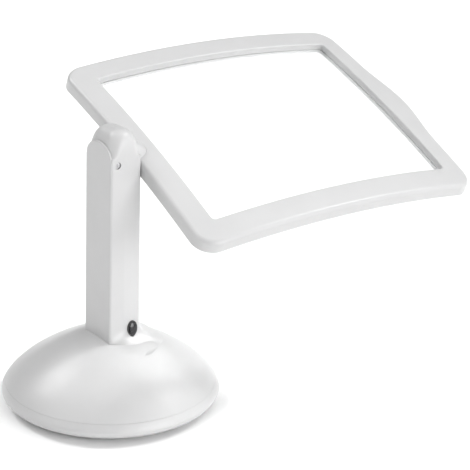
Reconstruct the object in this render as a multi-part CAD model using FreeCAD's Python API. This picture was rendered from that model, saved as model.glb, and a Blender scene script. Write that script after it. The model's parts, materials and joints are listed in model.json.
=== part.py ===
"""Desk magnifier: a weighted dome base, a two-piece post, and a swivelling framed lens lit by small lamps.

Units are millimetres. The origin is the centre of the base on the surface it stands on. +X points from the
post along the frame, +Y points away from the reader and +Z is up. Writes one STEP file per piece to parts/.
"""
import FreeCAD, Part
import math
import os

V = FreeCAD.Vector
X_AXIS = V(1, 0, 0)
Y_AXIS = V(0, 1, 0)
Z_AXIS = V(0, 0, 1)

# ---- Base ----
BASE_RADIUS = 75.0
BELT_HEIGHT = 9.8           # the widest ring of the base
DOME_APEX = 55.2            # where the dome's curve would meet the axis
DOME_POWERS = (1.48, 1.25)
CROWN_START = 44.0          # above this the dome is flatter
CROWN_TOP = 49.2
FOOT_FIT = 0.05             # room between the dome and the post's foot
SEAM_HEIGHT = 15.2          # dome above, tray below
SEAM_GAP = 0.12
FLOOR_GAP = 1.5             # the tray's underside is this far above the table
TRAY_FLAT_RADIUS = 58.0
TRAY_FLOOR = 2.4
BASE_WALL = 2.6
LEAD_HOLE_RADIUS = 4.0

# ---- Rubber ring, screws and ballast ----
RING_RADII = (50.0, 57.0)
RING_GROOVE = 0.8
RING_ROUND = 0.5
SCREW_CIRCLE = 53.5
SCREW_ANGLES = (45.0, 135.0, 225.0, 315.0)
BOSS_RADIUS = 3.4
BOSS_FOOT = 7.0             # where the cover's bosses meet the tray's
SCREW_CORE = 1.4
SCREW_HEAD = 2.8
SCREW_GRIP = 12.0
BALLAST_INNER = 42.5
BALLAST_OUTER = 60.0
BALLAST_THICKNESS = 12.0

# ---- Batteries and their door ----
CELL_COUNT = 3
CELL_RADIUS = 7.1
CELL_LENGTH = 49.2
CELL_NUB = (2.6, 1.2)       # radius, length
CELL_PITCH = 15.2
CELL_CENTRE_HEIGHT = 12.4
CONTACT_THICKNESS = 0.5
BOX_INNER = (58.0, 46.8)    # along X, along Y
BOX_WALL = 1.6
DECK_SIZE = (72.0, 60.0)    # the thick part of the tray's floor
DECK_TOP = 6.0
DOOR_SIZE = (62.0, 53.0)
DOOR_THICKNESS = 1.8
DOOR_TONGUE = 1.2
TONGUE_LENGTH = 7.0
DOOR_TRAVEL = 8.0
DOOR_GAP = 0.4
GRIP_RIDGES = 5

# ---- Post ----
LEAN_SPAN = (50.0, 170.0)   # the heights that the two leans are measured between
POST_BACK = -10.85          # at the lower height
BACK_LEAN = 1.4
POST_FRONT = 13.35
FRONT_LEAN = 0.4
RIDGE_X = 0.3               # a soft vertical ridge down each side
HALF_WIDTHS = (15.6, 16.0, 15.5)    # at the back, the ridge and the front
CORNER_RADII = (1.4, 16.0, 1.5)     # at the back, the ridge and the front
POST_WALL = 2.2
HOLLOW_TOP = 181.0

# ---- Head of the post ----
HEAD_START = 177.7
HEAD_HEIGHT = 17.6
HEAD_POWERS = (2.42, 3.36)  # how squarely the head closes along X and along Y
HEAD_DRIFT = 0.94           # its top leans this far along X
HEAD_CORNERS = (0.14, 0.36)

# ---- Foot of the post ----
TOE_START = 59.0            # where the front starts to sweep out
CHEEK_START = 58.0          # where the sides do
FLARE_END = 45.0
CHEEK_POWER = 3.0
FLARE_FRONT = 29.5
FLARE_RIDGE_X = 2.5
FLARE_HALF_WIDTHS = (15.8, 31.5, 16.5)
FLARE_RADII = (2.0, 14.0, 12.0)
POST_SCREWS = ((-4.0, -11.0), (-4.0, 11.0), (8.5, 9.0))
POST_BOSS_TOP = 62.0
PAD_FOOT = 41.0             # underside of the pads that the post's screws pull on

# ---- Back cover ----
COVER_PROUD = 0.35          # how far the cover stands out from the head behind it
COVER_THICKNESS = 1.3
COVER_GAP = 0.2
COVER_ROUND = 0.8
ARCH_START = 175.5
ARCH_RISE = 11.6
ARCH_HALF_WIDTH = 15.3
COVER_HALF_WIDTH = 18.0     # below the arch it spans the whole post
EAR_REACH = (9.8, 12.6)
HOOK_HEIGHTS = (75.0, 110.0, 145.0)
HEAD_SCREW = (-4.5, 173.3)  # X and Z of the small screws in the sides of the head
HEAD_SCREW_CORE = 1.2
HEAD_SCREW_HEAD = 2.1
HEAD_SCREW_SEAT = 14.2

# ---- Power button and electronics ----
BUTTON_CENTRE = (6.7, 56.2)  # X and Z on the reader's side of the post
BUTTON_SIZE = (5.9, 9.9)
BUTTON_GAP = 0.15
BEZEL_WIDTH = 0.75
BEZEL_BACK = 13.4            # distances towards the reader from the post's middle
BEZEL_FACE = 17.3
BUTTON_BACK = 11.8
BUTTON_FACE = 18.6
SWITCH_FACE = 10.2
BOARD_FACE = 6.0
BOARD_SPAN = (72.0, 106.0)
LEAD_RADIUS = 0.9

# ---- Frame ----
TILT = 23.4                 # how far the frame is turned about the swivel axis, far side up
SWIVEL_HEIGHT = 173.2
FRAME_START = 14.2          # the frame's outer wall beside the post
FRAME_LENGTH = 238.0
FRAME_HALF_WIDTH = 95.6
OPENING_HALF_WIDTH = 76.5
SIDE_RAIL = 17.8            # width of the rails beside and opposite the post
BULGE = 6.2                 # how far the rail opposite the post bows outward
BULGE_REACH = 48.0
FRAME_DEPTH = 8.6
SAG_LENGTHWISE = 9.2
BOW_RADIUS_ACROSS = 1082.0
OUTER_CORNER = 15.0
OPENING_CORNER = 3.0
TOP_ROUND = 3.2
FRAME_SKIN = 1.8
SKIRT = 1.9
INNER_SKIRT = 1.6
FLOOR_DEPTH = 7.0           # depth of the bottom shell's inner face
LENS_DEPTH = 4.9
LENS_THICKNESS = 1.3
LENS_MARGIN = 3.2
LEDGE = 4.2                 # width of the bottom shell's ledge under the lens
FRAME_SCREWS = ((21.0, 66.0), (85.0, 87.0), (165.0, 87.0), (246.0, 70.0))
FRAME_SCREW_CORE = 1.1

# ---- Lamps ----
LEFT_WINDOW = (17.5, 27.0, 17.0, 56.0)   # X from, X to, |Y| from, |Y| to
RIGHT_WINDOW = ((240.2, 248.2), 56.0)    # X span, half length
LEFT_LAMP_X = 22.6
LEFT_LAMP_START = 22.0
LEFT_LAMP_PITCH = 14.0
RIGHT_LAMP_X = 244.2
LAMP_COUNT = 6
LAMP_PITCH = 18.0
BOARD_DEPTH = 4.4
BOARD_THICKNESS = 1.0
FRAME_LEAD_RADIUS = 0.75
LEAD_SPACING = 0.85         # each wire's distance from the shaft's axis
LEAD_X = 26.0
LEAD_Y = -81.0
LEAD_DEPTH = 3.0

# ---- Swivel ----
SHAFT_RADIUS = 4.0
SHAFT_BORE = 1.9
SHAFT_START = 1.5
SHAFT_END = 18.2
RUNNING_GAP = 0.05
HUB_START = 14.2
HUB_RADIUS = 10.5
HUB_LENGTH = 13.0
HUB_WALL = 2.0
BUSH_RADIUS = 6.0
BUSH_FLANGE = 1.5
WASHER_START = 8.4
WASHER_THICKNESS = 1.45
SPRING_WASHER_HEIGHT = 1.1
NUT_THICKNESS = 4.0


# ---------------------------------------------------------------- helpers

def arc_through(first, middle, last):
    return Part.Arc(first, middle, last).toShape()


def line(first, last):
    return Part.LineSegment(first, last).toShape()


def smooth_edge(points):
    curve = Part.BSplineCurve()
    curve.interpolate(points)
    return curve.toShape()


def box(x, y, z):
    """A block between two values along each axis."""
    return Part.makeBox(x[1] - x[0], y[1] - y[0], z[1] - z[0], V(x[0], y[0], z[0]))


def rod(radius, start, direction, length):
    return Part.makeCylinder(radius, length, start, direction)


def tube(outer, inner, start, direction, length):
    return rod(outer, start, direction, length).cut(rod(inner, start, direction, length))


def corner_arcs(points, radii, height):
    """Where each corner's tangent arc starts, bends and ends."""
    arcs = []
    count = len(points)
    for i in range(count):
        corner = V(points[i][0], points[i][1], height)
        before = (V(points[i - 1][0], points[i - 1][1], height) - corner).normalize()
        after = (V(points[(i + 1) % count][0], points[(i + 1) % count][1], height) - corner).normalize()
        half_angle = before.getAngle(after) / 2
        setback = radii[i] / math.tan(half_angle)
        inward = (before + after).normalize()
        bend = corner + inward * (radii[i] / math.sin(half_angle) - radii[i])
        arcs.append((corner + before * setback, bend, corner + after * setback))
    return arcs


def rounded_outline(points, radii, height=0.0):
    """A closed wire through the corners given, each rounded with a tangent arc of its own radius."""
    arcs = corner_arcs(points, radii, height)
    edges = []
    for i, (start, bend, end) in enumerate(arcs):
        if radii[i] > 0:
            edges.append(arc_through(start, bend, end))
        edges.append(line(end, arcs[(i + 1) % len(arcs)][0]))
    return Part.Wire(edges)


def prism(wire, height):
    return Part.Face(wire).extrude(V(0, 0, height))


def facing_x(shape):
    """Turn a solid drawn flat as (Y, Z) and raised along Z, so that it is raised along X."""
    turned = shape.copy()
    turned.rotate(V(0, 0, 0), V(1, 1, 1), 120)
    return turned


def facing_reader(shape):
    """Turn a solid drawn flat as (X, Z) and raised along Z, so that it is raised along -Y."""
    turned = shape.copy()
    turned.rotate(V(0, 0, 0), X_AXIS, 90)
    return turned


def revolved(edges):
    """Swing a closed half outline, drawn in the XZ plane, about the Z axis."""
    return Part.Face(Part.Wire(edges)).revolve(V(0, 0, 0), Z_AXIS, 360)


def round_bar(points, radius, bend):
    """A wire or rod along straight runs that tangent arcs join."""
    edges = []
    at = points[0]
    for before, corner, after in zip(points, points[1:], points[2:]):
        inward = (before - corner).normalize()
        onward = (after - corner).normalize()
        half_angle = inward.getAngle(onward) / 2
        setback = bend / math.tan(half_angle)
        start = corner + inward * setback
        end = corner + onward * setback
        middle = corner + (inward + onward).normalize() * (bend / math.sin(half_angle) - bend)
        edges += [line(at, start), arc_through(start, middle, end)]
        at = end
    edges.append(line(at, points[-1]))
    path = Part.Wire(edges)
    profile = Part.Wire(Part.makeCircle(radius, points[0], points[1] - points[0]))
    return path.makePipeShell([profile], True, False)


def around_base(radius, angles):
    return [V(radius * math.cos(math.radians(a)), radius * math.sin(math.radians(a)), 0) for a in angles]


def one_solid(shape):
    """The single solid inside a boolean result."""
    solids = shape.Solids
    if len(solids) != 1:
        raise ValueError("expected one solid, found %d" % len(solids))
    return solids[0]


def cut_all(shape, tools):
    for tool in tools:
        shape = shape.cut(tool)
    return shape


def save(name, shape):
    if not shape.isValid():
        raise ValueError(name + " is not valid")
    shape.exportStep("parts/" + name + ".step")
    print("%-20s %2d solids %10.1f mm3" % (name, len(shape.Solids), shape.Volume))


# ---------------------------------------------------------------- base

def dome_radius(height):
    rise = (height - BELT_HEIGHT) / (DOME_APEX - BELT_HEIGHT)
    return BASE_RADIUS * (1 - rise ** DOME_POWERS[0]) ** (1 / DOME_POWERS[1])


def dome_slope(height):
    """How fast the dome's radius changes with height."""
    step = 0.05
    low = max(height - step, BELT_HEIGHT)
    return (dome_radius(height + step) - dome_radius(low)) / (height + step - low)


def dome_point(height, inset):
    """A point on the dome's outline, moved inward by an inset."""
    slope = dome_slope(height)
    length = math.hypot(1, slope)
    return V(dome_radius(height) - inset / length, 0, height + inset * slope / length)


def crown_point(radius, inset):
    """A point on the flatter crown, which meets the dome's side smoothly."""
    edge = dome_radius(CROWN_START)
    rise = CROWN_TOP - CROWN_START
    power = -edge / (rise * dome_slope(CROWN_START))
    slope = -rise * power / edge * (radius / edge) ** (power - 1)
    length = math.hypot(1, slope)
    height = CROWN_TOP - rise * (radius / edge) ** power
    return V(radius + inset * slope / length, 0, height - inset / length)


def under_dome(inset, low):
    """Everything under the dome's outline and above a height, the outline moved inward by an inset."""
    steps = 8
    points = [dome_point(low + (CROWN_START - low) * i / steps, inset) for i in range(steps)]
    edge = dome_radius(CROWN_START)
    points += [crown_point(edge * share, inset) for share in (1, 0.85, 0.7, 0.52, 0.34, 0.16, 0)]
    foot = V(0, 0, points[0].z)
    return revolved([smooth_edge(points), line(points[-1], foot), line(foot, points[0])])


def belt_edge(wall, count=7):
    """The rounded lower wall, from the flat underside up to the belt."""
    width = BASE_RADIUS - wall - TRAY_FLAT_RADIUS
    drop = BELT_HEIGHT - FLOOR_GAP - min(wall, TRAY_FLOOR)
    points = []
    for i in range(count):
        turn = math.pi / 2 * i / (count - 1)
        points.append(V(TRAY_FLAT_RADIUS + width * math.sin(turn), 0, BELT_HEIGHT - drop * math.cos(turn)))
    return smooth_edge(points)


def dome_block():
    """Everything under the dome's outer surface, down to the belt, with a little room to fit."""
    return under_dome(-FOOT_FIT, BELT_HEIGHT)


def post_screw_places():
    return [V(x, y, 0) for x, y in POST_SCREWS]


def base_cover():
    hollow = under_dome(BASE_WALL, BELT_HEIGHT)
    shell = under_dome(0, SEAM_HEIGHT + SEAM_GAP / 2).cut(hollow)
    for place in around_base(SCREW_CIRCLE, SCREW_ANGLES):
        boss = rod(BOSS_RADIUS, place + V(0, 0, BOSS_FOOT), Z_AXIS, 30)
        boss = boss.cut(rod(SCREW_CORE, place + V(0, 0, BOSS_FOOT), Z_AXIS, SCREW_GRIP))
        shell = shell.fuse(boss.common(hollow))
    for place in post_screw_places():
        pad = rod(SCREW_HEAD + 1.2, place + V(0, 0, PAD_FOOT), Z_AXIS, 20).common(hollow)
        shell = shell.fuse(pad)
    for place in post_screw_places():
        shell = shell.cut(rod(SCREW_CORE + 0.2, place, Z_AXIS, 70))
    return one_solid(shell.cut(rod(LEAD_HOLE_RADIUS, V(0, 0, 30), Z_AXIS, 30)))


def tongue_starts():
    return (-23.0, 11.0)


def door_cuts():
    """The recess, tongue slots and way out that the battery door uses under the tray."""
    half = DOOR_SIZE[1] / 2
    low = -DOOR_SIZE[0] / 2 - DOOR_GAP
    high = DOOR_SIZE[0] / 2 + DOOR_TRAVEL + DOOR_GAP
    top = FLOOR_GAP + DOOR_THICKNESS + 0.3
    cuts = [box((low, high), (-half - DOOR_GAP, half + DOOR_GAP), (0, top))]
    for start in tongue_starts():
        reach = half + DOOR_TONGUE + DOOR_GAP
        slot = (start - DOOR_GAP, start + TONGUE_LENGTH + DOOR_TRAVEL + DOOR_GAP)
        cuts.append(box(slot, (-reach, reach), (top - 1.3, top)))
        way_out = (start + TONGUE_LENGTH, slot[1])
        cuts.append(box(way_out, (-reach, reach), (0, top)))
    return cuts


def base_tray():
    high = SEAM_HEIGHT - SEAM_GAP / 2
    outer_belt = belt_edge(0)
    wall_points = [dome_point(BELT_HEIGHT + (high - BELT_HEIGHT) * i / 3, 0) for i in range(4)]
    outer_wall = smooth_edge(wall_points)
    top = wall_points[-1]
    floor = outer_belt.valueAt(outer_belt.FirstParameter)
    outer = revolved([
        outer_belt, outer_wall, line(top, V(0, 0, top.z)), line(V(0, 0, top.z), V(0, 0, floor.z)),
        line(V(0, 0, floor.z), floor),
    ])
    inner_belt = belt_edge(BASE_WALL)
    lip = V(dome_radius(high) - BASE_WALL, 0, high + 1)
    belt_end = inner_belt.valueAt(inner_belt.LastParameter)
    inner_floor = inner_belt.valueAt(inner_belt.FirstParameter)
    inner = revolved([
        inner_belt, line(belt_end, lip), line(lip, V(0, 0, lip.z)),
        line(V(0, 0, lip.z), V(0, 0, inner_floor.z)),
        line(V(0, 0, inner_floor.z), inner_floor),
    ])
    tray = outer.cut(inner)
    deck = box((-DECK_SIZE[0] / 2, DECK_SIZE[0] / 2 + DOOR_TRAVEL), (-DECK_SIZE[1] / 2, DECK_SIZE[1] / 2),
               (FLOOR_GAP, DECK_TOP))
    tray = tray.fuse(deck)
    opening_x = BOX_INNER[0] / 2
    opening_y = BOX_INNER[1] / 2
    tray = tray.cut(box((-opening_x, opening_x), (-opening_y, opening_y), (0, 30)))
    tray = cut_all(tray, door_cuts())
    for place in around_base(SCREW_CIRCLE, SCREW_ANGLES):
        tray = tray.fuse(rod(BOSS_RADIUS, place + V(0, 0, FLOOR_GAP), Z_AXIS, BOSS_FOOT - FLOOR_GAP))
        tray = tray.cut(rod(SCREW_CORE + 0.2, place, Z_AXIS, 30))
        tray = tray.cut(rod(SCREW_HEAD + 0.2, place, Z_AXIS, FLOOR_GAP + RING_GROOVE + 1.6))
    inner, outer = RING_RADII
    return one_solid(tray.cut(tube(outer + 0.1, inner - 0.1, V(0, 0, 0), Z_AXIS, FLOOR_GAP + RING_GROOVE)))


def rubber_ring():
    ring = tube(RING_RADII[1], RING_RADII[0], V(0, 0, 0), Z_AXIS, FLOOR_GAP + RING_GROOVE)
    rims = [edge for edge in ring.Edges if edge.BoundBox.ZMax < 0.01]
    return one_solid(ring.makeFillet(RING_ROUND, rims))


def screw(place, direction, grip, core=SCREW_CORE, head=SCREW_HEAD, head_height=1.5):
    """A round-headed screw with a cross recess, its head's top at place and its point along direction."""
    body = rod(head, place, direction, head_height).fuse(rod(core, place, direction, head_height + grip))
    across = direction.cross(X_AXIS if abs(direction.x) < 0.5 else Y_AXIS).normalize()
    other = direction.cross(across)
    for along, beside in ((across, other), (other, across)):
        start = place - along * head * 0.6 - beside * head * 0.12 - direction * 0.1
        plane = Part.makePlane(head * 1.2, head * 0.24, start, along.cross(beside), along)
        body = body.cut(plane.extrude(direction * (head_height * 0.55 + 0.1)))
    return one_solid(body)


def base_screws():
    head_top = V(0, 0, FLOOR_GAP + RING_GROOVE + 0.05)
    return Part.makeCompound([screw(place + head_top, Z_AXIS, SCREW_GRIP + BOSS_FOOT - 6)
                              for place in around_base(SCREW_CIRCLE, SCREW_ANGLES)])


def ballast_ring():
    ring = tube(BALLAST_OUTER, BALLAST_INNER, V(0, 0, DECK_TOP), Z_AXIS, BALLAST_THICKNESS)
    for place in around_base(SCREW_CIRCLE, SCREW_ANGLES):
        ring = ring.cut(rod(BOSS_RADIUS + 0.4, place, Z_AXIS, 40))
    rims = [edge for edge in ring.Edges if edge.Length > 200]
    return one_solid(ring.makeChamfer(0.6, rims))


# ---------------------------------------------------------------- batteries

def cell_rows():
    """Each cell's place across the box, and which way its positive end points."""
    middle = (CELL_COUNT - 1) / 2
    return [((i - middle) * CELL_PITCH, 1 if i % 2 == 0 else -1) for i in range(CELL_COUNT)]


def battery_holder():
    half_x = BOX_INNER[0] / 2
    half_y = BOX_INNER[1] / 2
    top = CELL_CENTRE_HEIGHT + CELL_RADIUS + 0.8
    outer = box((-half_x - BOX_WALL, half_x + BOX_WALL), (-half_y - BOX_WALL, half_y + BOX_WALL),
                (DECK_TOP, top + BOX_WALL))
    holder = outer.cut(box((-half_x, half_x), (-half_y, half_y), (0, top)))
    for y, _ in cell_rows()[:-1]:
        ridge = y + CELL_PITCH / 2
        holder = holder.fuse(box((-half_x, half_x), (ridge - 0.5, ridge + 0.5), (top - 4.5, top)))
    return one_solid(holder.cut(rod(1.5, V(0, 0, top - 1), Z_AXIS, 5)))


def batteries():
    cells = []
    plate_face = BOX_INNER[0] / 2 - CONTACT_THICKNESS
    for y, way in cell_rows():
        tip = V(way * plate_face, y, CELL_CENTRE_HEIGHT)
        shoulder = tip - X_AXIS * way * CELL_NUB[1]
        can = rod(CELL_RADIUS, shoulder, X_AXIS * -way, CELL_LENGTH)
        can = can.makeChamfer(0.5, [edge for edge in can.Edges if edge.Curve.TypeId == "Part::GeomCircle"])
        cells.append(can.fuse(rod(CELL_NUB[0], tip, X_AXIS * -way, CELL_NUB[1] + 1)))
    return Part.makeCompound([one_solid(cell) for cell in cells])


def battery_springs():
    """Conical springs at the negative ends, each drawn as rings that lap one another."""
    springs = []
    plate_face = BOX_INNER[0] / 2 - CONTACT_THICKNESS
    room = 2 * plate_face - CELL_LENGTH - CELL_NUB[1]
    wire = 0.5
    turns = 6
    pitch = (room - 2 * wire) / (turns - 1)
    for y, way in cell_rows():
        spring = None
        for i in range(turns):
            place = V(-way * (plate_face - wire - i * pitch), y, CELL_CENTRE_HEIGHT)
            ring = Part.makeTorus(5.2 - 0.3 * i, wire + 0.12, place, X_AXIS)
            spring = ring if spring is None else spring.fuse(ring)
        limits = sorted((-way * plate_face, -way * (plate_face - room)))
        springs.append(one_solid(spring.common(box(limits, (y - 7, y + 7), (0, 30)))))
    return Part.makeCompound(springs)


def battery_contacts():
    plates = []
    outer = BOX_INNER[0] / 2
    for y, _ in cell_rows():
        for side in (-1, 1):
            limits = sorted((side * outer, side * (outer - CONTACT_THICKNESS)))
            plates.append(box(limits, (y - 6, y + 6), (CELL_CENTRE_HEIGHT - 6, CELL_CENTRE_HEIGHT + 6)))
    return Part.makeCompound(plates)


def battery_door():
    half_x = DOOR_SIZE[0] / 2
    half_y = DOOR_SIZE[1] / 2
    top = FLOOR_GAP + DOOR_THICKNESS
    outline = rounded_outline([(-half_x, -half_y), (half_x, -half_y), (half_x, half_y), (-half_x, half_y)],
                              [1.0] * 4, FLOOR_GAP + 0.1)
    door = prism(outline, DOOR_THICKNESS - 0.1)
    for start in tongue_starts():
        reach = half_y + DOOR_TONGUE
        door = door.fuse(box((start, start + TONGUE_LENGTH), (-reach, reach), (top - 0.8, top)))
    for i in range(GRIP_RIDGES):
        x = half_x - 6 - 2.4 * i
        door = door.cut(rod(0.7, V(x, -9, FLOOR_GAP + 0.1), Y_AXIS, 18))
    return one_solid(door)


# ---------------------------------------------------------------- post

def lean(height):
    return (height - LEAN_SPAN[0]) / (LEAN_SPAN[1] - LEAN_SPAN[0])


def post_back(height):
    return POST_BACK + BACK_LEAN * lean(height)


def post_front(height):
    return POST_FRONT + FRONT_LEAN * lean(height)


def cover_split(height):
    """Where the back cover ends and the front shell starts."""
    return post_back(height) - COVER_PROUD + COVER_THICKNESS


def section(height, xs, halves, radii):
    """A level outline with three rounded corners down each side: back, ridge and front."""
    corners = [(x, -half) for x, half in zip(xs, halves)]
    corners += [(x, half) for x, half in zip(xs[::-1], halves[::-1])]
    return rounded_outline(corners, list(radii) + list(radii[::-1]), height)


def mix(first, second, share):
    return first + (second - first) * share


def flare_shares(height):
    """How far the front and the sides have swept out: 0 on the straight post, 1 at the lowest height."""
    toe = max(TOE_START - height, 0) / (TOE_START - FLARE_END)
    cheek = max(CHEEK_START - height, 0) / (CHEEK_START - FLARE_END)
    return toe ** 2, cheek ** CHEEK_POWER


def post_section(height, inset=0.0, proud=0.0):
    """The post's outline at a height, moved inward by an inset. The back can stand proud of it."""
    toe, cheek = flare_shares(height)
    back = post_back(height) + inset - proud
    front = mix(post_front(height), FLARE_FRONT, toe) - inset
    shares = (cheek, cheek, toe)
    halves = [mix(*pair, share) - inset for *pair, share in zip(HALF_WIDTHS, FLARE_HALF_WIDTHS, shares)]
    radii = [max(mix(*pair, share) - inset, 0.4) for *pair, share in zip(CORNER_RADII, FLARE_RADII, shares)]
    return section(height, (back, mix(RIDGE_X, FLARE_RIDGE_X, cheek), front), halves, radii)


def shaft_and_foot(top, inset=0.0, proud=0.0):
    """The straight post and its flared foot, as one block."""
    straight = Part.makeLoft([post_section(z, inset, proud) for z in (TOE_START, top)], True, True)
    heights = [TOE_START - 2 * i for i in range(9)]
    return straight.fuse(Part.makeLoft([post_section(z, inset, proud) for z in heights], True, False))


def head_section(rise):
    """The head's outline at a share of its height. Its corners get rounder as it closes."""
    along = (1 - rise ** HEAD_POWERS[0]) ** (1 / HEAD_POWERS[0])
    across = (1 - rise ** HEAD_POWERS[1]) ** (1 / HEAD_POWERS[1])
    centre = (post_back(HEAD_START) + post_front(HEAD_START)) / 2
    reach = (post_front(HEAD_START) - centre) * along
    halves = [half * across for half in HALF_WIDTHS]
    share = min(mix(HEAD_CORNERS[0], 1, rise ** HEAD_CORNERS[1]), 0.96)
    corner = share * min(reach, halves[0])
    middle = centre + HEAD_DRIFT * rise
    ridge = middle + (RIDGE_X - centre) * (1 - share)
    radii = (corner, CORNER_RADII[1] * (1 - share), corner)
    return section(HEAD_START + HEAD_HEIGHT * rise, (middle - reach, ridge, middle + reach), halves, radii)


def post_body():
    rises = (0.1, 0.22, 0.36, 0.5, 0.64, 0.76, 0.86, 0.93, 0.97, 0.99, 0.998)
    sections = [post_section(HEAD_START)] + [head_section(rise) for rise in rises]
    return shaft_and_foot(HEAD_START).fuse(Part.makeLoft(sections, True, False))


def post_hollow():
    upper = prism(rounded_outline([(-3.5, -9), (9.5, -9), (9.5, 9), (-3.5, 9)], [3] * 4, HOLLOW_TOP), 6)
    return shaft_and_foot(HOLLOW_TOP, POST_WALL).fuse(upper)


def arch(inset):
    """Everything behind the cover's split and inside its outline: straight sides and a half oval on top."""
    half = ARCH_HALF_WIDTH - inset
    start = ARCH_START - inset
    oval = Part.Ellipse(V(0, start, 0), half, ARCH_RISE).toShape(0, math.pi)
    left = [V(-half, start, 0), V(-COVER_HALF_WIDTH, start, 0), V(-COVER_HALF_WIDTH, 38, 0)]
    corners = left + [V(-corner.x, corner.y, 0) for corner in left[::-1]]
    sides = [line(first, last) for first, last in zip(corners, corners[1:])]
    window = facing_x(prism(Part.Wire([oval] + sides), 20))
    window.rotate(V(20, 0, LEAN_SPAN[0]), Y_AXIS, math.degrees(math.atan(BACK_LEAN / 120)))
    window.translate(V(cover_split(LEAN_SPAN[0]) - 20 - inset / 2, 0, 0))
    return window


def post_back_cover(dome):
    cover = one_solid(shaft_and_foot(195, proud=COVER_PROUD).common(arch(COVER_GAP)).cut(dome))
    rim = [edge for edge in cover.Edges if is_arch_rim(edge)]
    cover = cover.makeFillet(COVER_ROUND, rim)
    split = cover_split(HEAD_SCREW[1])
    ear_z = (HEAD_SCREW[1] - 3.6, HEAD_SCREW[1] + 3.6)
    for side in (-1, 1):
        ear_y = sorted((side * EAR_REACH[0], side * EAR_REACH[1]))
        cover = cover.fuse(box((split - 1, HEAD_SCREW[0] + 3), ear_y, ear_z))
    for z in HOOK_HEIGHTS:
        hook_x = (cover_split(z) - 1, cover_split(z) + 4)
        for side in (-1, 1):
            cover = cover.fuse(box(hook_x, sorted((side * 11.4, side * 12.8)), (z, z + 8)))
    cover = cover.cut(rod(HEAD_SCREW_CORE, V(HEAD_SCREW[0], -30, HEAD_SCREW[1]), Y_AXIS, 60))
    return one_solid(cover)


def is_arch_rim(edge):
    """Whether an edge runs over the top of the cover's outer face."""
    middle = edge.valueAt((edge.FirstParameter + edge.LastParameter) / 2)
    face = post_back(middle.z) - COVER_PROUD
    return edge.BoundBox.ZMin > ARCH_START and abs(middle.x - face) < 0.05


def button_outline(grow):
    """The oval of the power button, grown all round, as a tall solid that passes through the post's side."""
    centre = V(0, 0, 0)
    oval = Part.Ellipse(centre, BUTTON_SIZE[1] / 2 + grow, BUTTON_SIZE[0] / 2 + grow).toShape()
    oval.rotate(centre, Z_AXIS, 90)
    block = facing_reader(prism(Part.Wire(oval), 40))
    block.translate(V(BUTTON_CENTRE[0], 0, BUTTON_CENTRE[1]))
    return block


def layer(low, high):
    """A slab between two distances towards the reader."""
    return box((-200, 200), (-high, -low), (-10, 400))


def post_front_shell(body, dome):
    shell = body.cut(post_hollow())
    for place in post_screw_places():
        boss = rod(BOSS_RADIUS, place + V(0, 0, 40), Z_AXIS, POST_BOSS_TOP - 40).common(body)
        shell = shell.fuse(boss)
    shell = shell.cut(dome)
    for place in post_screw_places():
        shell = shell.cut(rod(SCREW_CORE, place + V(0, 0, 30), Z_AXIS, POST_BOSS_TOP - 32))
    shell = shell.cut(arch(0))
    window_half = HALF_WIDTHS[0] - POST_WALL - 0.6
    shell = shell.cut(box((POST_BACK, -6), (-window_half, window_half), (38, 180)))
    shell = shell.cut(rod(BUSH_RADIUS, V(0, 0, SWIVEL_HEIGHT), X_AXIS, 30))
    shell = shell.cut(button_outline(BEZEL_WIDTH).common(layer(0, 30)))
    screw_start = V(HEAD_SCREW[0], -30, HEAD_SCREW[1])
    shell = shell.cut(rod(HEAD_SCREW_CORE + 0.15, screw_start, Y_AXIS, 60))
    for side in (-1, 1):
        mouth = V(HEAD_SCREW[0], side * HEAD_SCREW_SEAT, HEAD_SCREW[1])
        shell = shell.cut(rod(HEAD_SCREW_HEAD + 0.3, mouth, Y_AXIS * side, 10))
    return one_solid(shell)


def head_screws():
    screws = []
    for side in (-1, 1):
        top = V(HEAD_SCREW[0], side * (HEAD_SCREW_SEAT + 0.8), HEAD_SCREW[1])
        screws.append(screw(top, Y_AXIS * -side, 4.4, HEAD_SCREW_CORE, HEAD_SCREW_HEAD, 0.8))
    return Part.makeCompound(screws)


def post_screws():
    return Part.makeCompound([screw(place + V(0, 0, PAD_FOOT - 1.5), Z_AXIS, POST_BOSS_TOP - PAD_FOOT - 4)
                              for place in post_screw_places()])


# ---------------------------------------------------------------- switch and electronics

def power_button():
    stem = button_outline(-BUTTON_GAP).common(layer(BUTTON_BACK, BUTTON_FACE))
    crown_radius = 9.5
    crown = Part.makeSphere(crown_radius, V(BUTTON_CENTRE[0], crown_radius - BUTTON_FACE, BUTTON_CENTRE[1]))
    return one_solid(stem.common(crown))


def button_bezel():
    ring = button_outline(BEZEL_WIDTH).cut(button_outline(0)).common(layer(BEZEL_BACK, BEZEL_FACE))
    rim = [edge for edge in ring.Edges if edge.BoundBox.YMax < -BEZEL_FACE + 0.01]
    return one_solid(one_solid(ring).makeFillet(0.3, rim))


def switch_body():
    x = BUTTON_CENTRE[0]
    z = BUTTON_CENTRE[1]
    case = box((x - 4, x + 4), (-SWITCH_FACE, 7 - SWITCH_FACE), (z - 6, z + 7))
    for leg in (-3, 0, 3):
        leg_x = (x + leg - 0.4, x + leg + 0.4)
        case = case.fuse(box(leg_x, (7 - SWITCH_FACE, 10 - SWITCH_FACE), (z - 0.2, z + 0.2)))
    return one_solid(case)


def driver_board():
    return box((BOARD_FACE, BOARD_FACE + 1.2), (-10, 10), BOARD_SPAN)


def board_components():
    low = BOARD_SPAN[0]
    chip = box((BOARD_FACE - 1.6, BOARD_FACE), (-3, 3), (low + 6, low + 12))
    coil = rod(3.2, V(BOARD_FACE - 4, 0, low + 19), X_AXIS, 4)
    can = rod(2.5, V(BOARD_FACE - 5, -6, low + 26), X_AXIS, 5)
    resistors = [box((BOARD_FACE - 0.6, BOARD_FACE), (3 + 2 * i, 4 + 2 * i), (low + 24, low + 26))
                 for i in range(3)]
    return Part.makeCompound([chip, coil, can] + resistors)


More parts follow.
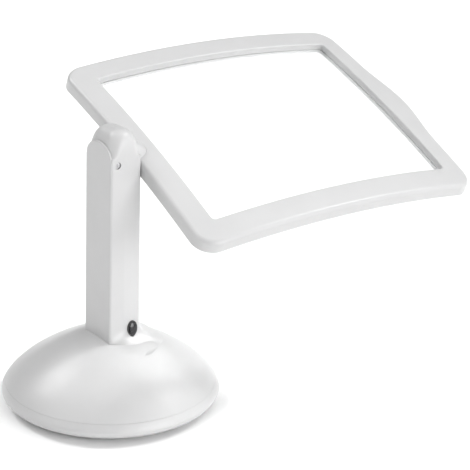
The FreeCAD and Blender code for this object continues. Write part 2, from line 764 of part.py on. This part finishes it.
def post_lead():
    low = CELL_CENTRE_HEIGHT + CELL_RADIUS + 0.8 + BOX_WALL
    points = [V(0, 0, low), V(0, 0, 62), V(-3, 0, 84), V(-3, 0, 150), V(-5, 0, SWIVEL_HEIGHT),
              V(SHAFT_START - 0.6, 0, SWIVEL_HEIGHT)]
    return round_bar(points, LEAD_RADIUS, 4.0)


# ---------------------------------------------------------------- frame

def lifted(shape):
    """Carry a frame piece from its flat working position to its place on the swivel axis."""
    placed = shape.copy()
    placed.rotate(V(0, 0, 0), X_AXIS, TILT)
    placed.translate(V(0, 0, SWIVEL_HEIGHT))
    return placed


def lengthwise_radius():
    half = FRAME_LENGTH / 2
    return (half ** 2 + SAG_LENGTHWISE ** 2) / (2 * SAG_LENGTHWISE)


def top_height(x, y):
    """How high the frame's bowed top face is above the swivel axis."""
    middle = FRAME_START + FRAME_LENGTH / 2
    crown = FRAME_DEPTH / 2 + SAG_LENGTHWISE
    radius = lengthwise_radius()
    drop = radius - math.sqrt(radius ** 2 - (x - middle) ** 2)
    return crown - drop - (BOW_RADIUS_ACROSS - math.sqrt(BOW_RADIUS_ACROSS ** 2 - y ** 2))


def bowed_slab(upper, lower):
    """The space between two depths below the frame's bowed top face, wider than the frame itself.

    The top face is an arc along X swung about a line far below. At the post it is half the frame's depth
    above the swivel axis.
    """
    radius = lengthwise_radius()
    middle = FRAME_START + FRAME_LENGTH / 2
    crown = FRAME_DEPTH / 2 + SAG_LENGTHWISE
    centre = V(middle, 0, crown - radius)
    reach = math.asin((FRAME_LENGTH / 2 + 20) / radius)

    def rim_points(depth):
        return [centre + V((radius - depth) * math.sin(a), 0, (radius - depth) * math.cos(a))
                for a in (-reach, 0, reach)]

    top = rim_points(upper)
    bottom = rim_points(lower)
    face = Part.Face(Part.Wire([
        arc_through(*top), line(top[2], bottom[2]), arc_through(*bottom[::-1]), line(bottom[0], top[0]),
    ]))
    swing = math.degrees(math.asin((FRAME_HALF_WIDTH + 20) / BOW_RADIUS_ACROSS))
    pivot = V(middle, 0, crown - BOW_RADIUS_ACROSS)
    face.rotate(pivot, X_AXIS, -swing)
    return face.revolve(pivot, X_AXIS, 2 * swing)


def plan(x, half_width, corner, low=-60.0, high=60.0):
    """A tall block with rounded upright corners."""
    corners = [(x[0], -half_width), (x[1], -half_width), (x[1], half_width), (x[0], half_width)]
    return prism(rounded_outline(corners, [corner] * 4, low), high - low)


def frame_plan(inset):
    """The frame's plan as a tall solid: a rounded rectangle whose far side bows outward at its middle."""
    low = FRAME_START + inset
    high = FRAME_START + FRAME_LENGTH - inset
    half = FRAME_HALF_WIDTH - inset
    corner = OUTER_CORNER - inset
    floor = -60.0
    corners = [(low, -half), (high, -half), (high, half), (low, half)]
    arcs = corner_arcs(corners, [corner] * 4, floor)
    straight = half - corner
    count = 12
    bow = []
    for i in range(count + 1):
        y = straight * (2 * i / count - 1)
        bow.append(V(high + BULGE * max(math.cos(math.pi / 2 * y / BULGE_REACH), 0) ** 2
                     if abs(y) < BULGE_REACH else high, y, floor))
    far_side = Part.BSplineCurve()
    far_side.interpolate(Points=bow, InitialTangent=V(0, 1, 0), FinalTangent=V(0, 1, 0))
    edges = [arc_through(*arcs[0]), line(arcs[0][2], arcs[1][0]), arc_through(*arcs[1]), far_side.toShape(),
             arc_through(*arcs[2]), line(arcs[2][2], arcs[3][0]), arc_through(*arcs[3]),
             line(arcs[3][2], arcs[0][0])]
    return prism(Part.Wire(edges), 120)


def opening(margin=0.0):
    """The lens opening's plan as a tall solid, grown by a margin."""
    low = FRAME_START + SIDE_RAIL - margin
    high = FRAME_START + FRAME_LENGTH - SIDE_RAIL + margin
    return plan((low, high), OPENING_HALF_WIDTH + margin, OPENING_CORNER + margin)


def hub_shape(inset):
    """Half an ellipsoid about the swivel axis, whose flat end faces the post."""
    centre = V(HUB_START + inset, 0, 0)
    length = HUB_LENGTH - 2 * inset
    radius = HUB_RADIUS - inset
    oval = Part.Ellipse(centre, max(length, radius), min(length, radius))
    crown = centre + Y_AXIS * radius
    edges = [oval.toShape(0, math.pi / 2), line(crown, centre), line(centre, centre + X_AXIS * length)]
    return Part.Face(Part.Wire(edges)).revolve(V(0, 0, 0), X_AXIS, 360)


def frame_screw_places():
    return [(x, y * side) for x, y in FRAME_SCREWS for side in (-1, 1)]


def long_edges(shape, keep):
    """Edges of a bowed piece whose midpoint passes a test and which don't stand upright."""
    chosen = []
    for edge in shape.Edges:
        centre = edge.valueAt((edge.FirstParameter + edge.LastParameter) / 2)
        ends = [vertex.Point for vertex in edge.Vertexes]
        upright = abs(ends[0].z - ends[-1].z) > 0.9 * edge.Length
        if not upright and keep(centre):
            chosen.append(edge)
    return chosen


def is_outer(point):
    middle = FRAME_START + FRAME_LENGTH / 2
    return abs(point.y) > OPENING_HALF_WIDTH + 6 or abs(point.x - middle) > FRAME_LENGTH / 2 - 8


def is_top(point):
    return point.z > top_height(point.x, point.y) - FRAME_DEPTH / 2


def frame_top_shell():
    ring = one_solid(bowed_slab(0, FRAME_DEPTH).common(frame_plan(0).cut(opening())))
    ring = ring.makeFillet(TOP_ROUND, long_edges(ring, lambda p: is_outer(p) and is_top(p)))
    ring = ring.makeFillet(0.9, long_edges(ring, lambda p: not is_outer(p) and is_top(p)))
    hollow = bowed_slab(FRAME_SKIN, 30).common(frame_plan(SKIRT).cut(opening(INNER_SKIRT)))
    ring = ring.cut(hollow)
    ring = ring.cut(bowed_slab(LENS_DEPTH, 30).common(opening(INNER_SKIRT + 1)))
    for x, y in frame_screw_places():
        boss = rod(2.6, V(x, y, -40), Z_AXIS, 80).common(bowed_slab(FRAME_SKIN - 0.2, FLOOR_DEPTH - 0.05))
        ring = ring.fuse(boss.cut(rod(FRAME_SCREW_CORE, V(x, y, -40), Z_AXIS, 40 + top_height(x, y) - 2.4)))
    return one_solid(ring.cut(hub_shape(-0.1)))


def lamp_windows(grow):
    """The slots for the clear lamp strips: two beside the hub, and one along the far rail."""
    strips = []
    for side in (-1, 1):
        y = sorted((side * LEFT_WINDOW[2], side * LEFT_WINDOW[3]))
        x = (LEFT_WINDOW[0] - grow, LEFT_WINDOW[1] + grow)
        strips.append(box(x, (y[0] - grow, y[1] + grow), (-60, 60)))
    x, half = RIGHT_WINDOW
    strips.append(box((x[0] - grow, x[1] + grow), (-half - grow, half + grow), (-60, 60)))
    return strips


def frame_bottom_shell():
    plate = bowed_slab(FLOOR_DEPTH, FRAME_DEPTH).common(frame_plan(SKIRT + 0.1).cut(opening()))
    ledge = bowed_slab(LENS_DEPTH + LENS_THICKNESS + 0.04, FRAME_DEPTH).common(opening(LEDGE).cut(opening()))
    plate = plate.fuse(ledge)
    plate = cut_all(plate, lamp_windows(0.1))
    for x, y in frame_screw_places():
        plate = plate.cut(rod(FRAME_SCREW_CORE + 0.15, V(x, y, -60), Z_AXIS, 120))
        seat_height = top_height(x, y) - FRAME_DEPTH + 0.9
        plate = plate.cut(rod(2.5, V(x, y, seat_height), Z_AXIS * -1, 20))
    return one_solid(plate.cut(hub_shape(-0.1)))


def frame_screws():
    screws = []
    for x, y in frame_screw_places():
        head_top = V(x, y, top_height(x, y) - FRAME_DEPTH + 0.05)
        screws.append(screw(head_top, Z_AXIS, 4.4, FRAME_SCREW_CORE, 2.3, 0.85))
    return Part.makeCompound(screws)


def lens():
    return one_solid(bowed_slab(LENS_DEPTH + 0.02, LENS_DEPTH + LENS_THICKNESS).common(opening(LENS_MARGIN)))


def lamp_places():
    left = [(LEFT_LAMP_X, side * (LEFT_LAMP_START + LEFT_LAMP_PITCH * i))
            for side in (-1, 1) for i in range(3)]
    right = [(RIGHT_LAMP_X, LAMP_PITCH * (i - (LAMP_COUNT - 1) / 2)) for i in range(LAMP_COUNT)]
    return left + right


def lamp_boards():
    blanks = []
    for side in (-1, 1):
        y = sorted((side * (LEFT_WINDOW[2] - 1), side * (LEFT_WINDOW[3] + 1)))
        blanks.append(box((LEFT_LAMP_X - 4, LEFT_LAMP_X + 4), y, (-60, 60)))
    half = RIGHT_WINDOW[1] + 1
    blanks.append(box((RIGHT_LAMP_X - 4.5, RIGHT_LAMP_X + 4.5), (-half, half), (-60, 60)))
    slab = bowed_slab(BOARD_DEPTH, BOARD_DEPTH + BOARD_THICKNESS)
    return Part.makeCompound([one_solid(slab.common(blank)) for blank in blanks])


def lamps():
    """Small square lamps under the boards, each with a round lens that points down."""
    bodies = []
    slab = bowed_slab(BOARD_DEPTH + BOARD_THICKNESS + 0.02, BOARD_DEPTH + BOARD_THICKNESS + 0.8)
    for x, y in lamp_places():
        lamp = slab.common(box((x - 1.7, x + 1.7), (y - 1.7, y + 1.7), (-60, 60)))
        middle = top_height(x, y) - BOARD_DEPTH - BOARD_THICKNESS - 0.5
        lower_half = box((x - 3, x + 3), (y - 3, y + 3), (middle - 3, middle))
        bulb = Part.makeSphere(1.4, V(x, y, middle)).common(lower_half)
        bodies.append(one_solid(lamp.fuse(bulb)))
    return Part.makeCompound(bodies)


def lamp_strips():
    slab = bowed_slab(FLOOR_DEPTH + 0.5, FRAME_DEPTH)
    return Part.makeCompound([one_solid(slab.common(strip)) for strip in lamp_windows(0)])


def lead_bend(side):
    """Where a frame wire leaves the shaft's bore, and where it then reaches the rail beside the post."""
    rail_y = side * 14.0
    rail = V(LEAD_X, rail_y, top_height(LEAD_X, rail_y) - LEAD_DEPTH)
    return V(SHAFT_END + 2.5, side * LEAD_SPACING, 0), rail


def frame_leads():
    """Two wires from the shaft: a short one to the +Y board, one past the -Y board to the far rail."""
    short = [(LEAD_X, 44.0)]
    far_x = RIGHT_LAMP_X
    long = [(LEAD_X, -45.0), (LEAD_X, -79.0), (33.0, LEAD_Y - 1.5), (75.0, LEAD_Y), (115.0, LEAD_Y),
            (155.0, LEAD_Y), (195.0, LEAD_Y), (far_x - 10, LEAD_Y), (far_x - 3.6, -72.0), (far_x - 3.6, -48.0)]
    wires = []
    for side, stops in ((1, short), (-1, long)):
        leave, rail = lead_bend(side)
        along = [V(x, y, top_height(x, y) - LEAD_DEPTH) for x, y in stops]
        start = V(SHAFT_START + 0.5, side * LEAD_SPACING, 0)
        wires.append(one_solid(round_bar([start, leave, rail] + along, FRAME_LEAD_RADIUS, 2.0)))
    return Part.makeCompound(wires)


# ---------------------------------------------------------------- swivel

def swivel_hub():
    hub = hub_shape(0).cut(hub_shape(HUB_WALL))
    hub = hub.cut(rod(SHAFT_RADIUS + 0.02, V(0, 0, 0), X_AXIS, HUB_START + HUB_WALL + 0.1))
    for side in (-1, 1):
        leave, rail = lead_bend(side)
        hub = hub.cut(rod(FRAME_LEAD_RADIUS + 0.4, leave, rail - leave, 20))
    return one_solid(hub)


def swivel_shaft():
    pin = rod(SHAFT_RADIUS, V(SHAFT_START, 0, 0), X_AXIS, SHAFT_END - SHAFT_START)
    flange = rod(6.4, V(HUB_START + HUB_WALL + 0.02, 0, 0), X_AXIS, SHAFT_END - HUB_START - HUB_WALL - 0.02)
    return one_solid(pin.fuse(flange).cut(rod(SHAFT_BORE, V(0, 0, 0), X_AXIS, 40)))


def swivel_bush():
    bore = SHAFT_RADIUS + RUNNING_GAP
    inner_face = post_front(SWIVEL_HEIGHT - 8) - POST_WALL
    barrel = rod(BUSH_RADIUS - 0.02, V(inner_face - 0.1, 0, SWIVEL_HEIGHT), X_AXIS, POST_WALL + 0.1)
    flange = rod(7.6, V(inner_face - BUSH_FLANGE, 0, SWIVEL_HEIGHT), X_AXIS, BUSH_FLANGE - 0.02)
    return one_solid(barrel.fuse(flange).cut(rod(bore, V(-5, 0, SWIVEL_HEIGHT), X_AXIS, 40)))


def friction_washer():
    return tube(7.4, SHAFT_RADIUS + 0.02, V(WASHER_START, 0, 0), X_AXIS, WASHER_THICKNESS)


def spring_washer():
    """A coned washer between the nut and the flat washer."""
    low = V(WASHER_START - SPRING_WASHER_HEIGHT - 0.02, 0, 0)
    outer = Part.makeCone(4.9, 7.0, SPRING_WASHER_HEIGHT, low, X_AXIS)
    inner = Part.makeCone(SHAFT_RADIUS + 0.02, 6.0, SPRING_WASHER_HEIGHT, low, X_AXIS)
    return one_solid(outer.cut(inner).cut(rod(SHAFT_RADIUS + 0.02, low, X_AXIS, 5)))


def swivel_nut():
    turns = [math.radians(60 * i) for i in range(7)]
    corners = [V(0, 6.4 * math.cos(turn), 6.4 * math.sin(turn)) for turn in turns]
    nut = Part.Face(Part.makePolygon(corners)).extrude(X_AXIS * NUT_THICKNESS)
    nut.translate(V(WASHER_START - SPRING_WASHER_HEIGHT - NUT_THICKNESS - 0.04, 0, 0))
    return one_solid(nut.cut(rod(SHAFT_RADIUS + 0.02, V(-10, 0, 0), X_AXIS, 40)))


# ---------------------------------------------------------------- assembly

def main():
    os.makedirs("parts", exist_ok=True)
    dome = dome_block()
    body = post_body()
    pieces = {
        "base_cover": base_cover(),
        "base_tray": base_tray(),
        "rubber_ring": rubber_ring(),
        "base_screws": base_screws(),
        "ballast_ring": ballast_ring(),
        "battery_holder": battery_holder(),
        "batteries": batteries(),
        "battery_springs": battery_springs(),
        "battery_contacts": battery_contacts(),
        "battery_door": battery_door(),
        "post_front_shell": post_front_shell(body, dome),
        "post_back_cover": post_back_cover(dome),
        "head_screws": head_screws(),
        "post_screws": post_screws(),
        "power_button": power_button(),
        "button_bezel": button_bezel(),
        "switch_body": switch_body(),
        "driver_board": driver_board(),
        "board_components": board_components(),
        "post_lead": post_lead(),
        "swivel_bush": swivel_bush(),
    }
    swivelling = {
        "frame_top_shell": frame_top_shell(),
        "frame_bottom_shell": frame_bottom_shell(),
        "frame_screws": frame_screws(),
        "lens": lens(),
        "lamp_boards": lamp_boards(),
        "lamps": lamps(),
        "lamp_strips": lamp_strips(),
        "frame_leads": frame_leads(),
        "swivel_hub": swivel_hub(),
        "swivel_shaft": swivel_shaft(),
        "friction_washer": friction_washer(),
        "spring_washer": spring_washer(),
        "swivel_nut": swivel_nut(),
    }
    for name, shape in swivelling.items():
        pieces[name] = lifted(shape)
    for name, shape in pieces.items():
        save(name, shape)


main()
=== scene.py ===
"""Desk magnifier: the looks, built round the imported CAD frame. Metres; +Z up, +X along the lens frame."""

import json
import math

import bpy
from mathutils import Matrix, Vector


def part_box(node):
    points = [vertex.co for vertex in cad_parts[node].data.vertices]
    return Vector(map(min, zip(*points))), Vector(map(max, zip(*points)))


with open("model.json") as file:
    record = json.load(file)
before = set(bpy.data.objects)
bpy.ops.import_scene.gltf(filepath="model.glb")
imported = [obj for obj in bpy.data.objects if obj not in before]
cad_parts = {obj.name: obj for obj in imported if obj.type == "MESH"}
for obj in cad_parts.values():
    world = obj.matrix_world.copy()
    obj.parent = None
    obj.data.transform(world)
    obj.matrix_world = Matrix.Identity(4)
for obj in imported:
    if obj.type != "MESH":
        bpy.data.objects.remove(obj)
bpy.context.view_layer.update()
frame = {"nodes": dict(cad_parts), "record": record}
NODES = frame["nodes"]

# ---- View and light ----
CAMERA_PLACE = Vector((-0.5383, -0.8500, 0.4933))
CAMERA_AIM = Vector((0.0631, -0.0542, 0.1242))
CAMERA_ROLL = math.radians(1.63)
CAMERA_LENS = 122.55
SENSOR_WIDTH = 36.0
FLOOR_COLOUR = (0.93, 0.93, 0.93)
FLOOR_HALF = 6.0
WORLD_STRENGTH = 0.18
SUNS = (  # name, azimuth from +X, elevation, angle across, strength; angles in degrees
    ("key", -16.0, 52.0, 9.0, 1.2),
    ("rear", 119.0, 50.0, 18.0, 1.3),
    ("reader_side", -80.0, 12.0, 40.0, 2.4),
    ("low_right", -30.0, 25.0, 50.0, 0.8),
    ("overhead", 60.0, 80.0, 50.0, 0.7),
    ("left_side", 178.0, 36.0, 50.0, 0.8),
)


def make_camera():
    camera = bpy.data.objects.new("camera", bpy.data.cameras.new("camera"))
    bpy.context.scene.collection.objects.link(camera)
    camera.data.lens = CAMERA_LENS
    camera.data.sensor_width = SENSOR_WIDTH
    camera.data.clip_start = 0.01
    facing = (CAMERA_AIM - CAMERA_PLACE).to_track_quat("-Z", "Y").to_matrix().to_4x4()
    roll = Matrix.Rotation(CAMERA_ROLL, 4, "Z")
    camera.matrix_world = Matrix.Translation(CAMERA_PLACE) @ facing @ roll
    bpy.context.scene.camera = camera


def make_sun(name, azimuth, elevation, angle, strength):
    """A soft light from far off. It is aimed by the bearing and height it shines from."""
    light = bpy.data.lights.new(name, "SUN")
    light.angle = math.radians(angle)
    light.energy = strength
    sun = bpy.data.objects.new(name, light)
    bpy.context.scene.collection.objects.link(sun)
    turn = math.radians(azimuth)
    rise = math.radians(elevation)
    toward = Vector((math.cos(rise) * math.cos(turn), math.cos(rise) * math.sin(turn), math.sin(rise)))
    sun.matrix_world = Matrix.Translation(toward) @ toward.to_track_quat("Z", "Y").to_matrix().to_4x4()


def make_lights():
    for sun in SUNS:
        make_sun(*sun)
    world = bpy.data.worlds.new("studio")
    world.use_nodes = True
    background = world.node_tree.nodes["Background"]
    background.inputs["Color"].default_value = (1.0, 1.0, 1.0, 1.0)
    background.inputs["Strength"].default_value = WORLD_STRENGTH
    bpy.context.scene.world = world
    bpy.context.scene.view_settings.view_transform = "Standard"


def make_floor():
    corners = [(x * FLOOR_HALF, y * FLOOR_HALF, 0) for x, y in ((-1, -1), (1, -1), (1, 1), (-1, 1))]
    mesh = bpy.data.meshes.new("floor")
    mesh.from_pydata(corners, [], [(0, 1, 2, 3)])
    floor = bpy.data.objects.new("floor", mesh)
    bpy.context.scene.collection.objects.link(floor)
    material = bpy.data.materials.new("floor")
    material.use_nodes = True
    shader = material.node_tree.nodes["Principled BSDF"]
    shader.inputs["Base Color"].default_value = (*FLOOR_COLOUR, 1.0)
    shader.inputs["Roughness"].default_value = 0.9
    mesh.materials.append(material)


# ---- Materials ----
# Noise runs about from NOISE_LOW to NOISE_HIGH. The case is two close greys. The ridges are the lens's.
RIDGE_PITCH = 0.0015
RIDGE_DEPTH = 0.00002
RIDGE_STRENGTH = 0.2
CLEAR_SHADOW = (0.96, 0.96, 0.96)
NOISE_LOW = 0.3
NOISE_HIGH = 0.7
NOISE_ROUGHNESS = 0.55
GRAIN = 0.0006
GRAIN_DEPTH = 0.00001
CASE_WHITES = ((0.49, 0.49, 0.492), (0.47, 0.47, 0.472))


class Maker:
    """Builds one node material with short calls. Lengths are in metres, in the piece's own space."""

    def __init__(self, name, **values):
        """Start a material. Each value is set on the shader socket of that name, spaces as underscores."""
        self.material = bpy.data.materials.new(name)
        self.material.use_nodes = True
        self.tree = self.material.node_tree
        self.shader = self.tree.nodes["Principled BSDF"]
        for key, value in values.items():
            self.shader.inputs[key.replace("_", " ")].default_value = value
        self.place = self.tree.nodes.new("ShaderNodeTexCoord").outputs["Object"]

    def link(self, source, node, socket):
        self.tree.links.new(source, node.inputs[socket])

    def noise(self, size, detail=3.0):
        """Noise whose blobs are about size across."""
        node = self.tree.nodes.new("ShaderNodeTexNoise")
        node.inputs["Scale"].default_value = 1.0 / size
        node.inputs["Detail"].default_value = detail
        node.inputs["Roughness"].default_value = NOISE_ROUGHNESS
        self.link(self.place, node, "Vector")
        return node.outputs["Fac"]

    def rings(self, centre, pitch):
        """Fine round ridges about a point, as a sheet lens has."""
        shift = self.tree.nodes.new("ShaderNodeVectorMath")
        shift.operation = "SUBTRACT"
        shift.inputs[1].default_value = centre
        self.link(self.place, shift, 0)
        node = self.tree.nodes.new("ShaderNodeTexWave")
        node.wave_type = "RINGS"
        node.rings_direction = "SPHERICAL"
        node.wave_profile = "SAW"
        node.inputs["Scale"].default_value = math.pi / (10 * pitch)
        self.link(shift.outputs["Vector"], node, "Vector")
        return node.outputs["Fac"]

    def clear_shadow(self):
        """Let light through the piece, so its shadow is as faint as a clear sheet's."""
        through = self.tree.nodes.new("ShaderNodeBsdfTransparent")
        through.inputs["Color"].default_value = (*CLEAR_SHADOW, 1.0)
        path = self.tree.nodes.new("ShaderNodeLightPath")
        mix = self.tree.nodes.new("ShaderNodeMixShader")
        self.link(path.outputs["Is Shadow Ray"], mix, 0)
        self.link(self.shader.outputs["BSDF"], mix, 1)
        self.link(through.outputs["BSDF"], mix, 2)
        self.link(mix.outputs["Shader"], self.tree.nodes["Material Output"], "Surface")

    def colour(self, source, dark, light):
        """Shade the colour from dark to light by a grey source."""
        node = self.tree.nodes.new("ShaderNodeValToRGB")
        stops = ((NOISE_LOW, dark), (NOISE_HIGH, light))
        for element, (position, shade) in zip(node.color_ramp.elements, stops):
            element.position = position
            element.color = (*shade, 1.0)
        self.link(source, node, "Fac")
        self.link(node.outputs["Color"], self.shader, "Base Color")

    def roughness(self, source, low, high):
        """Vary the roughness from low to high by a grey source."""
        node = self.tree.nodes.new("ShaderNodeMapRange")
        node.inputs["From Min"].default_value = NOISE_LOW
        node.inputs["From Max"].default_value = NOISE_HIGH
        node.inputs["To Min"].default_value = low
        node.inputs["To Max"].default_value = high
        self.link(source, node, "Value")
        self.link(node.outputs["Result"], self.shader, "Roughness")

    def relief(self, source, depth, strength=1.0):
        """Give the surface fine relief of a real depth."""
        node = self.tree.nodes.new("ShaderNodeBump")
        node.inputs["Distance"].default_value = depth
        node.inputs["Strength"].default_value = strength
        self.link(source, node, "Height")
        self.link(node.outputs["Normal"], self.shader, "Normal")


def plastic(name, light, dark, rough, grain=GRAIN, depth=GRAIN_DEPTH):
    """Moulded or painted surface: soft clouds of colour, uneven gloss and a fine grain."""
    made = Maker(name)
    made.colour(made.noise(0.03, 4.0), dark, light)
    made.roughness(made.noise(0.012, 5.0), *rough)
    made.relief(made.noise(grain, 2.0), depth)
    return made.material


def metal(name, light):
    """Plated or turned metal with faint clouding."""
    made = Maker(name, Metallic=1.0)
    dark = tuple(0.8 * channel for channel in light)
    made.colour(made.noise(0.004), dark, light)
    made.roughness(made.noise(0.001), 0.25, 0.4)
    return made.material


def acrylic(name, centre=None):
    """Clear sheet. About a centre it has the fine ridges of a sheet lens."""
    made = Maker(name, Base_Color=(0.98, 0.99, 0.99, 1.0), Transmission_Weight=1.0, IOR=1.49)
    made.roughness(made.noise(0.02), 0.0, 0.02)
    if centre is not None:
        made.relief(made.rings(centre, RIDGE_PITCH), RIDGE_DEPTH, RIDGE_STRENGTH)
    made.clear_shadow()
    return made.material


def middle_of(node):
    """The middle of a piece's box."""
    low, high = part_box(node)
    return (Vector(low) + Vector(high)) / 2


PLASTICS = {  # slot: lightest colour, darkest colour, roughness
    "white_plastic": (*CASE_WHITES, (0.36, 0.42)),
    "frame_plastic": (*CASE_WHITES, (0.34, 0.4)),
    "hidden_plastic": ((0.7, 0.7, 0.69), (0.64, 0.64, 0.63), (0.5, 0.62)),
    "button_plastic": ((0.02, 0.02, 0.022), (0.012, 0.012, 0.013), (0.08, 0.16)),
    "dark_plastic": ((0.05, 0.05, 0.05), (0.03, 0.03, 0.03), (0.45, 0.6)),
    "foot_rubber": ((0.05, 0.05, 0.05), (0.03, 0.03, 0.03), (0.7, 0.85)),
    "cell_jacket": ((0.1, 0.16, 0.3), (0.07, 0.12, 0.24), (0.25, 0.35)),
    "board": ((0.02, 0.2, 0.08), (0.01, 0.14, 0.05), (0.35, 0.5)),
    "component": ((0.05, 0.05, 0.055), (0.03, 0.03, 0.035), (0.4, 0.6)),
    "lamp": ((0.9, 0.85, 0.5), (0.85, 0.8, 0.45), (0.2, 0.3)),
    "lead_red": ((0.45, 0.03, 0.02), (0.36, 0.02, 0.02), (0.4, 0.5)),
}
CAST_IRON = ((0.1, 0.1, 0.11), (0.06, 0.06, 0.065), (0.5, 0.7))
METALS = {  # slot: colour
    "steel": (0.62, 0.62, 0.63),
    "spring_steel": (0.7, 0.7, 0.7),
    "brass": (0.75, 0.58, 0.3),
}


def make_materials():
    """The material of each slot in the record."""
    made = {name: plastic(name, *look) for name, look in PLASTICS.items()}
    made.update({name: metal(name, colour) for name, colour in METALS.items()})
    made["clear_acrylic"] = acrylic("clear_acrylic")
    made["iron"] = plastic("iron", *CAST_IRON, grain=0.002, depth=0.0002)
    return made


def dress_nodes(materials):
    """Give each piece the material of its slot. The lens has its own, with ridges about its middle."""
    slots = {part["node"]: part["material_slot"] for part in frame["record"]["subparts"]}
    for name, node in NODES.items():
        node.data.materials.clear()
        node.data.materials.append(materials[slots[name]])
    NODES["lens"].data.materials[0] = acrylic("lens_acrylic", middle_of("lens"))


make_camera()
make_lights()
make_floor()
dress_nodes(make_materials())
